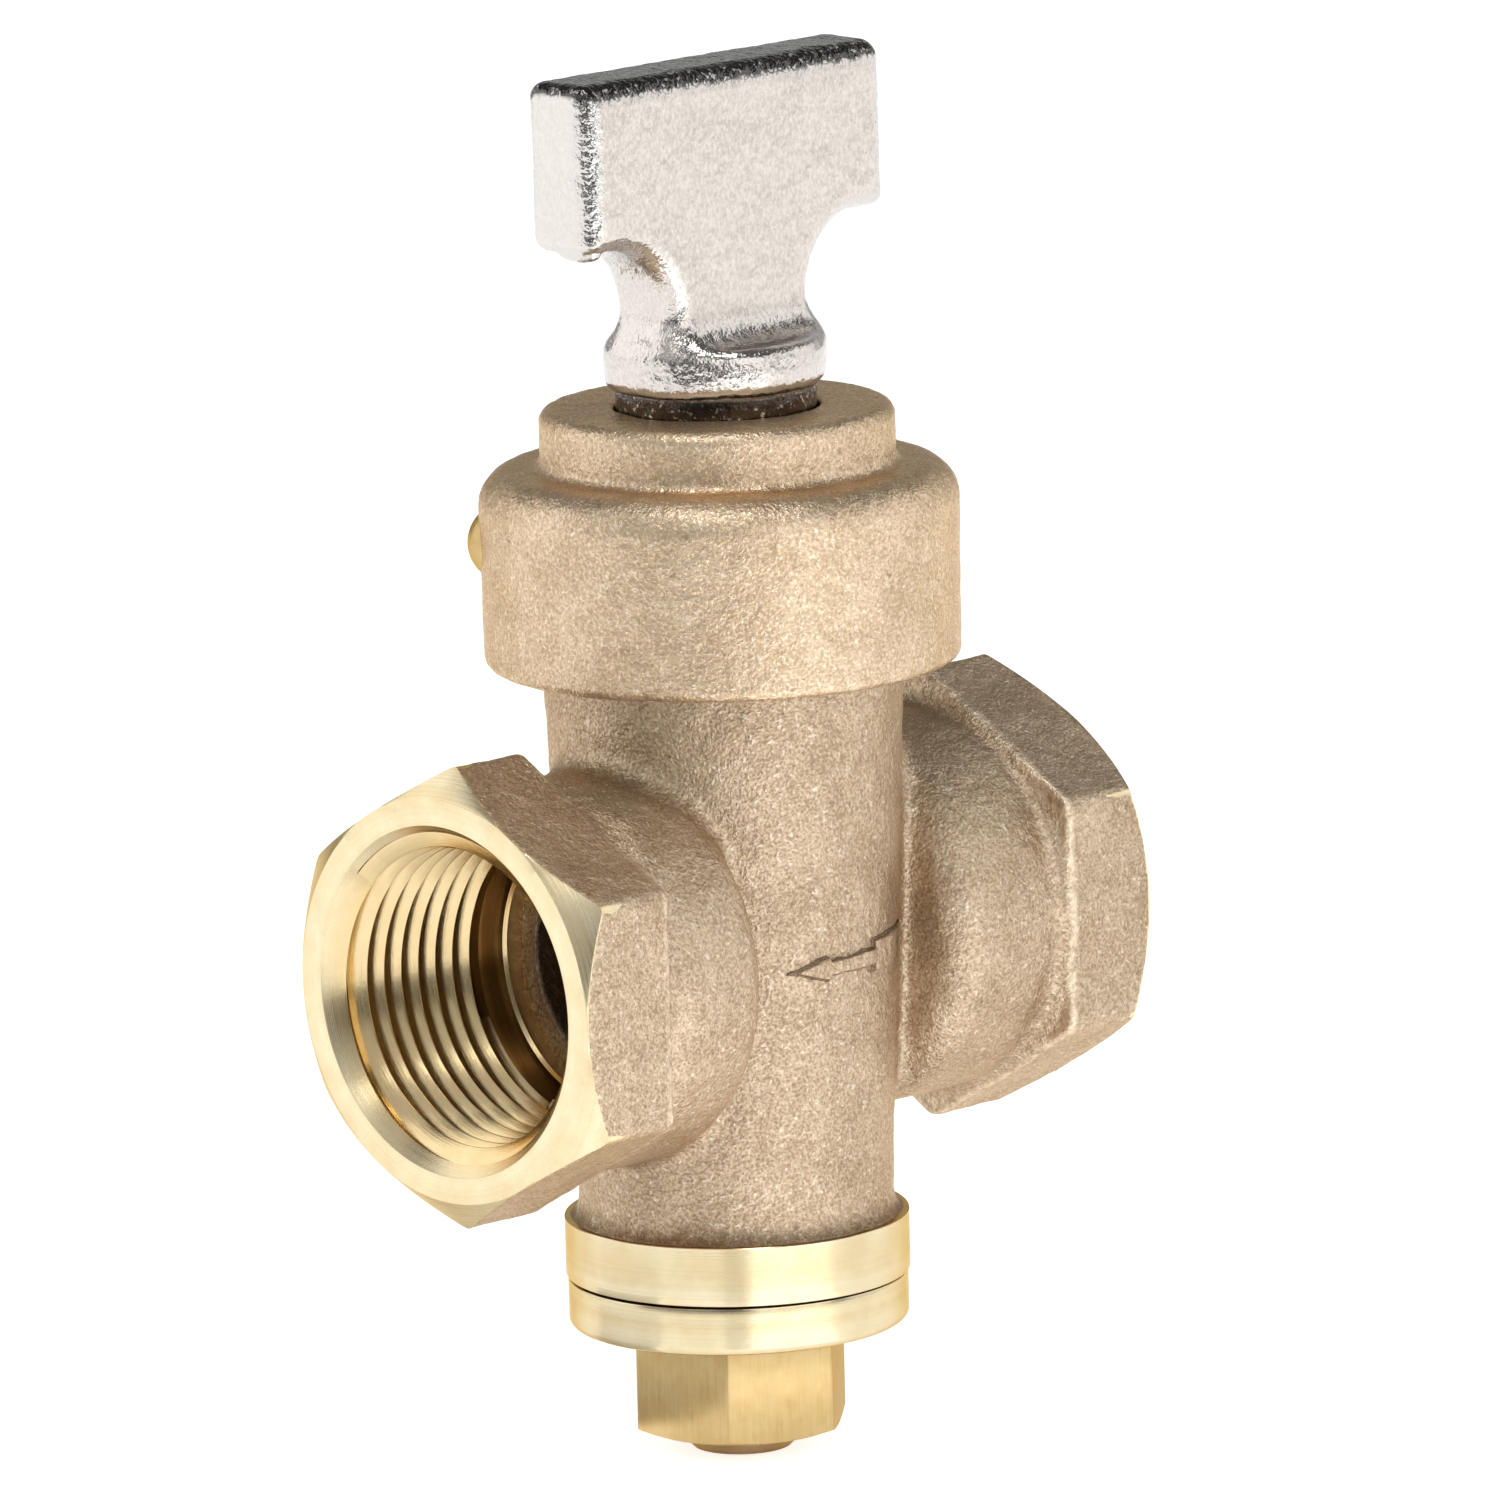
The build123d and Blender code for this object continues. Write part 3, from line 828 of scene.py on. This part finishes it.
def turned_brass(name, axis, light, deep, roughness):
    """Machined brass with the fine grooves that a lathe leaves, a deeper tone on the port threads and
    painted shade in the relief groove behind them.
    """
    s = Shades(name)
    radial, along = from_axis(s, axis)
    both = s.nodes.new("ShaderNodeCombineXYZ")
    s.put(both.inputs[0], radial)
    s.put(both.inputs[1], along)
    grooves = s.noise(0.11, detail=3.0, roughness=0.7, place=both.outputs[0])
    bands = s.noise(1.3, detail=2.0, place=both.outputs[0])
    stain = s.noise(3.0, detail=4.0, roughness=0.6)
    colour = s.blend(s.spread(s.math("ADD", bands, stain), 0.75, 1.25), deep, light)
    if axis == "port":
        depth = s.math("ABSOLUTE", along)
        narrow = s.spread(radial, MOUTH_R + 0.1, MOUTH_R - 0.3)
        thread = s.math("MULTIPLY", narrow, s.spread(depth, FACE_X, 30.5))
        colour = s.blend(thread, colour, s.blend(stain, (0.66, 0.49, 0.24), (0.82, 0.66, 0.39)))
        # painted shade: dark colour in the relief groove behind the thread
        behind = s.spread(depth, THREAD_END_X + 0.2, THREAD_END_X)
        groove = s.math("MULTIPLY", behind, s.spread(radial, 12.0, 12.6))
        colour = s.blend(groove, colour, (0.30, 0.20, 0.10))
    rough = s.spread(grooves, 0.3, 0.7, roughness - 0.07, roughness + 0.09)
    if axis == "port":
        rough = s.math("SUBTRACT", rough, s.math("MULTIPLY", thread, 0.1))
    normal = s.bump(grooves, 0.012, 0.7)
    normal = s.bump(s.noise(0.5), 0.01, 0.4, after=normal)
    return s.finish(colour, rough, normal, edge=(0.80, 0.62, 0.36))


def drawn_brass(name):
    """Nut stock: lengthwise drawing lines, soft stains and deeper gold."""
    s = Shades(name)
    stretched = s.vector("MULTIPLY", s.place, (1, 1, 0.06))
    lines = s.noise(0.25, detail=3.0, roughness=0.65, place=stretched)
    stain = s.noise(2.2, detail=4.0, roughness=0.65)
    tone = s.math("ADD", s.spread(stain, 0.3, 0.7, 0.0, 0.5), s.spread(lines, 0.3, 0.7, 0.0, 0.5))
    colour = s.blend(tone, (0.465, 0.32, 0.13), (0.605, 0.46, 0.235))
    rough = s.spread(lines, 0.3, 0.7, 0.26, 0.42)
    normal = s.bump(lines, 0.015, 0.6)
    return s.finish(colour, rough, normal, edge=(0.80, 0.62, 0.36))


def flat_faces(s, height):
    """Where the paddle is flat, and where that flat is one of its two ends."""
    apart = s.nodes.new("ShaderNodeSeparateXYZ")
    s.put(apart.inputs[0], s.vector("ABSOLUTE", s.facing))
    above_collar = s.spread(height, COLLAR_BOTTOM + 2, COLLAR_BOTTOM + 6)
    front = s.math("MULTIPLY", apart.outputs["Y"], above_collar)
    above_waist = s.spread(height, PADDLE_UNDER - 4, PADDLE_UNDER - 1)
    ends = s.math("MULTIPLY", apart.outputs["X"], above_waist)
    return s.spread(s.math("MAXIMUM", front, ends), 0.9, 0.995), ends


def top_dark_reflection(s, height, flat, grain):
    """Mask of the painted dark reflection: the paddle's upward face and, down to a ragged line, the
    rounded edge round it.
    """
    upward = s.spread(s.vector("DOT_PRODUCT", s.facing, (0, 0, 1), out="Value"), 0.8, 0.95)
    upward = s.math("MULTIPLY", upward, s.spread(height, PADDLE_UNDER, PADDLE_UNDER + 2))
    ragged = s.math("ADD", height, s.spread(grain, 0.3, 0.7, -0.5, 0.5))
    brow = s.spread(ragged, tee_high.z - 1.7, tee_high.z - 1.3)
    return s.math("MAXIMUM", upward, s.math("SUBTRACT", brow, flat, clamp=True))


def rough_plate(name):
    """Bright plating: satin flats, coarse edges and neck, a painted sheen on the ends, a painted dark
    reflection with glints on the top and painted shade on the shank.
    """
    s = Shades(name)
    height = s.vector("DOT_PRODUCT", s.place, (0, 0, 1), out="Value")
    flat, ends = flat_faces(s, height)
    paddle = s.spread(height, PADDLE_UNDER - 3, PADDLE_UNDER + 4, 0.25, 1.0)
    coarse = s.math("SUBTRACT", paddle, flat, clamp=True)
    drawn = s.vector("MULTIPLY", s.place, (1, 1, 0.65))
    streaks = s.noise(0.26, detail=2.0, roughness=0.6, place=drawn)
    grain = s.noise(0.5, detail=1.5)
    patch = s.noise(3.5, detail=3.0)
    colour = s.blend(s.spread(patch, 0.3, 0.7), (0.50, 0.455, 0.415), (0.58, 0.53, 0.485))
    colour = s.blend(s.spread(streaks, 0.36, 0.68), colour, (0.69, 0.64, 0.59))
    # painted sheen: the paddle's two end faces lightened
    colour = s.blend(s.math("MULTIPLY", ends, 0.6), colour, (0.70, 0.67, 0.645))
    colour = s.blend(coarse, colour, (0.60, 0.58, 0.56))
    # painted shade: dark speckled colour on the shank below the collar
    above_shank = s.spread(height, COLLAR_BOTTOM - 0.3, COLLAR_BOTTOM + 0.3)
    shank_shade = s.blend(s.spread(grain, 0.6, 0.68), (0.07, 0.055, 0.045), (0.40, 0.37, 0.33))
    colour = s.blend(above_shank, shank_shade, colour)
    # painted reflection: the paddle's top and upper edge darkened, with painted glints
    top = top_dark_reflection(s, height, flat, grain)
    glint_specks = s.spread(grain, 0.6, 0.66)
    colour = s.blend(top, colour, s.blend(glint_specks, (0.10, 0.095, 0.09), (0.60, 0.59, 0.57)))
    bright = s.math("ADD", s.math("MULTIPLY", s.math("MULTIPLY", glint_specks, 0.35), top), 0.09)
    bright = s.math("MULTIPLY", bright, s.spread(flat, 0.0, 1.0, 1.0, 0.0))
    rough = s.math("ADD", bright, s.spread(flat, 0, 1, 0, 0.3))
    normal = s.bump(streaks, 0.06, 1.0)
    normal = s.bump(s.math("MULTIPLY", grain, coarse), 0.14, 1.0, after=normal)
    return s.finish(colour, rough, normal)


def dark_stock(name, colour, deep, roughness):
    """Rubber and plastic of the hidden seals and the friction washer."""
    s = Shades(name)
    mottle = s.noise(0.4, detail=3.0)
    shade = s.blend(mottle, colour, deep)
    normal = s.bump(s.noise(0.12), 0.008, 0.5)
    return s.finish(shade, s.spread(mottle, 0.3, 0.7, roughness - 0.08, roughness + 0.08), normal, 0.0)


def dress(piece, material):
    piece.data.materials.clear()
    piece.data.materials.append(material)


casting, arrow, outlet, inlet, rim = make_body()
cap = make_cap()
tee = make_tee()
washer = make_washer()
nut = make_nut()

BRONZE_DARK = (0.355, 0.257, 0.163)
BRONZE_LIGHT = (0.617, 0.49, 0.355)
CAP_DARK = (0.46, 0.333, 0.207)
CAP_LIGHT = (0.735, 0.585, 0.42)

bronze = cast_bronze("cast_bronze", BRONZE_DARK, BRONZE_LIGHT, (0.21, 0.14, 0.085))
arrow_bronze = cast_bronze(
    "arrow_bronze", BRONZE_DARK, BRONZE_LIGHT, (0.15, 0.105, 0.065), raised=True
)
cap_bronze = cast_bronze("cap_bronze", CAP_DARK, CAP_LIGHT, (0.28, 0.19, 0.11), 0.3, relief=0.8)
port_brass = turned_brass("port_brass", "port", (0.80, 0.70, 0.475), (0.72, 0.58, 0.35), 0.28)
key_brass = turned_brass("key_brass", "key", (0.72, 0.63, 0.43), (0.64, 0.52, 0.31), 0.2)
key_bronze = turned_brass("key_bronze", "key", (0.40, 0.28, 0.16), (0.24, 0.16, 0.09), 0.4)
nut_brass = drawn_brass("nut_brass")
plate = rough_plate("rough_plate")
rubber = dark_stock("seal_rubber", (0.02, 0.02, 0.02), (0.035, 0.035, 0.033), 0.55)
plastic = dark_stock("friction_plastic", (0.05, 0.045, 0.04), (0.09, 0.08, 0.07), 0.5)

FINISHES = [
    (casting, bronze),
    (arrow, arrow_bronze),
    (outlet, port_brass),
    (inlet, port_brass),
    (rim, key_brass),
    (cap, cap_bronze),
    (tee, plate),
    (washer, key_brass),
    (nut, nut_brass),
]
for piece, finish in FINISHES:
    dress(piece, finish)
CARRIED_OVER = {
    "key": key_bronze,
    "check_pin": nut_brass,
    "upper_o_ring": rubber,
    "lower_o_ring": rubber,
    "port_seal_ring": rubber,
    "friction_washer": plastic,
}
for node, finish in CARRIED_OVER.items():
    for material_slot in frame["nodes"][node].material_slots:
        material_slot.material = finish


# ---------------------------------------------------------------- stage, light and camera

AZIMUTH = math.radians(-44.58)
ELEVATION = math.radians(11.14)
ROLL = math.radians(-1.42)
DISTANCE = 1150.5
LENS = 344.5
AIM_RIGHT = 1.6             # the view's middle, right of and above the crossing of the axes
AIM_UP = 15.0
FLOOR_HALF = 6.0
FLOOR_GLOW = 0.72
LIGHTS_DISTANCE = 1.1
ROOM_SEEN = 0.95            # the room is pale to the camera,
ROOM_REFLECTED = 0.15       # and dark in reflections


def make_camera():
    back = Vector((
        math.sin(AZIMUTH) * math.cos(ELEVATION),
        -math.cos(AZIMUTH) * math.cos(ELEVATION),
        math.sin(ELEVATION),
    ))
    level = Vector((math.cos(AZIMUTH), math.sin(AZIMUTH), 0))
    upward = back.cross(level)
    right = math.cos(ROLL) * level + math.sin(ROLL) * upward
    up = math.cos(ROLL) * upward - math.sin(ROLL) * level
    place = Vector((0, 0, PORT_Z)) + back * DISTANCE + right * AIM_RIGHT + up * AIM_UP
    data = bpy.data.cameras.new("camera")
    data.sensor_width = 36
    data.lens = LENS
    data.clip_start = 0.01
    data.clip_end = 20
    camera = bpy.data.objects.new("camera", data)
    turned = Matrix((right, up, back)).transposed().to_4x4()
    camera.matrix_world = Matrix.Translation(place * MM) @ turned
    bpy.context.scene.collection.objects.link(camera)
    bpy.context.scene.camera = camera


def glowing(name, grey, glow):
    """A plain matt grey that also gives off white light."""
    s = Shades(name)
    s.shader.inputs["Emission Color"].default_value = (1, 1, 1, 1)
    s.shader.inputs["Emission Strength"].default_value = glow
    return s.finish((grey, grey, grey, 1.0), 0.8, metallic=0.0)


def make_floor():
    """A wide pale floor that glows softly, like a light table."""
    mesh = bpy.data.meshes.new("floor")
    half = FLOOR_HALF
    corners = [(-half, -half, 0), (half, -half, 0), (half, half, 0), (-half, half, 0)]
    mesh.from_pydata(corners, [], [(0, 1, 2, 3)])
    floor = bpy.data.objects.new("floor", mesh)
    bpy.context.scene.collection.objects.link(floor)
    dress(floor, glowing("floor", 0.8, FLOOR_GLOW))


def soft_box(name, azimuth, elevation, size, radiance):
    """A big soft light facing the valve, as bright as radiance in a mirror."""
    data = bpy.data.lights.new(name, "AREA")
    data.shape = "RECTANGLE"
    data.size, data.size_y = size
    data.energy = radiance * math.pi * size[0] * size[1]
    lamp = bpy.data.objects.new(name, data)
    turn, rise = math.radians(azimuth), math.radians(elevation)
    away = Vector((math.sin(turn) * math.cos(rise), -math.cos(turn) * math.cos(rise), math.sin(rise)))
    lamp.location = Vector((0, 0, 0.05)) + away * LIGHTS_DISTANCE
    lamp.rotation_euler = away.to_track_quat("Z", "Y").to_euler()
    lamp.visible_camera = False
    bpy.context.scene.collection.objects.link(lamp)


def floor_sheet(name, azimuth, half_angle, near, far, grey, glow):
    """A flat sector lying on the floor round the valve, seen only in reflections."""
    sides = [math.radians(azimuth + half_angle * part) for part in np.linspace(-1, 1, 9)]
    corners = [(math.sin(a) * near, -math.cos(a) * near, 0.001) for a in sides]
    corners += [(math.sin(a) * far, -math.cos(a) * far, 0.001) for a in reversed(sides)]
    mesh = bpy.data.meshes.new(name)
    mesh.from_pydata(corners, [], [range(len(corners))])
    sheet = bpy.data.objects.new(name, mesh)
    bpy.context.scene.collection.objects.link(sheet)
    sheet.visible_camera = False
    sheet.visible_shadow = False
    dress(sheet, glowing(name, grey, glow))


def make_sheets():
    """Sheets that draw upright bands on the round parts and dark edges on the bright handle."""
    floor_sheet("bright_sheet", -11, 25, 0.03, 0.44, 0.8, 1.4)
    floor_sheet("grey_sheet", -46, 8, 0.03, 0.2, 0.8, 0.45)
    floor_sheet("shade_sheet", -117, 25, 0.012, 0.06, 0.8, 0.2)
    floor_sheet("dark_sheet", -46, 42, 0.46, 2.6, 0.03, 0.0)
    floor_sheet("camera_sheet", -45, 22, 0.385, 0.46, 0.03, 0.0)


def make_light():
    """Soft boxes on both sides, above and faintly behind, in a room that is dark in reflections."""
    soft_box("right_box", -8, 22, (1.2, 0.85), 1.4)
    soft_box("far_right_box", 62, 22, (1.2, 0.85), 1.1)
    soft_box("left_box", -145, 22, (1.3, 0.85), 1.3)
    soft_box("top_box", -45, 74, (0.5, 0.4), 5.5)
    soft_box("high_left_box", -84, 34, (0.95, 1.1), 0.42)
    soft_box("glint_box", -74, 38, (0.16, 0.26), 2.2)
    soft_box("back_box", 135, 17, (1.8, 0.5), 0.38)
    world = bpy.data.worlds.new("room")
    bpy.context.scene.world = world
    world.use_nodes = True
    nodes, links = world.node_tree.nodes, world.node_tree.links
    backdrop = nodes["Background"]
    path = nodes.new("ShaderNodeLightPath")
    brightness = nodes.new("ShaderNodeMapRange")
    brightness.inputs["To Min"].default_value = ROOM_REFLECTED
    brightness.inputs["To Max"].default_value = ROOM_SEEN
    links.new(path.outputs["Is Camera Ray"], brightness.inputs["Value"])
    links.new(brightness.outputs["Result"], backdrop.inputs["Strength"])
    backdrop.inputs["Color"].default_value = (1, 1, 1, 1)
    bpy.context.scene.view_settings.view_transform = "Standard"


make_camera()
make_floor()
make_sheets()
make_light()
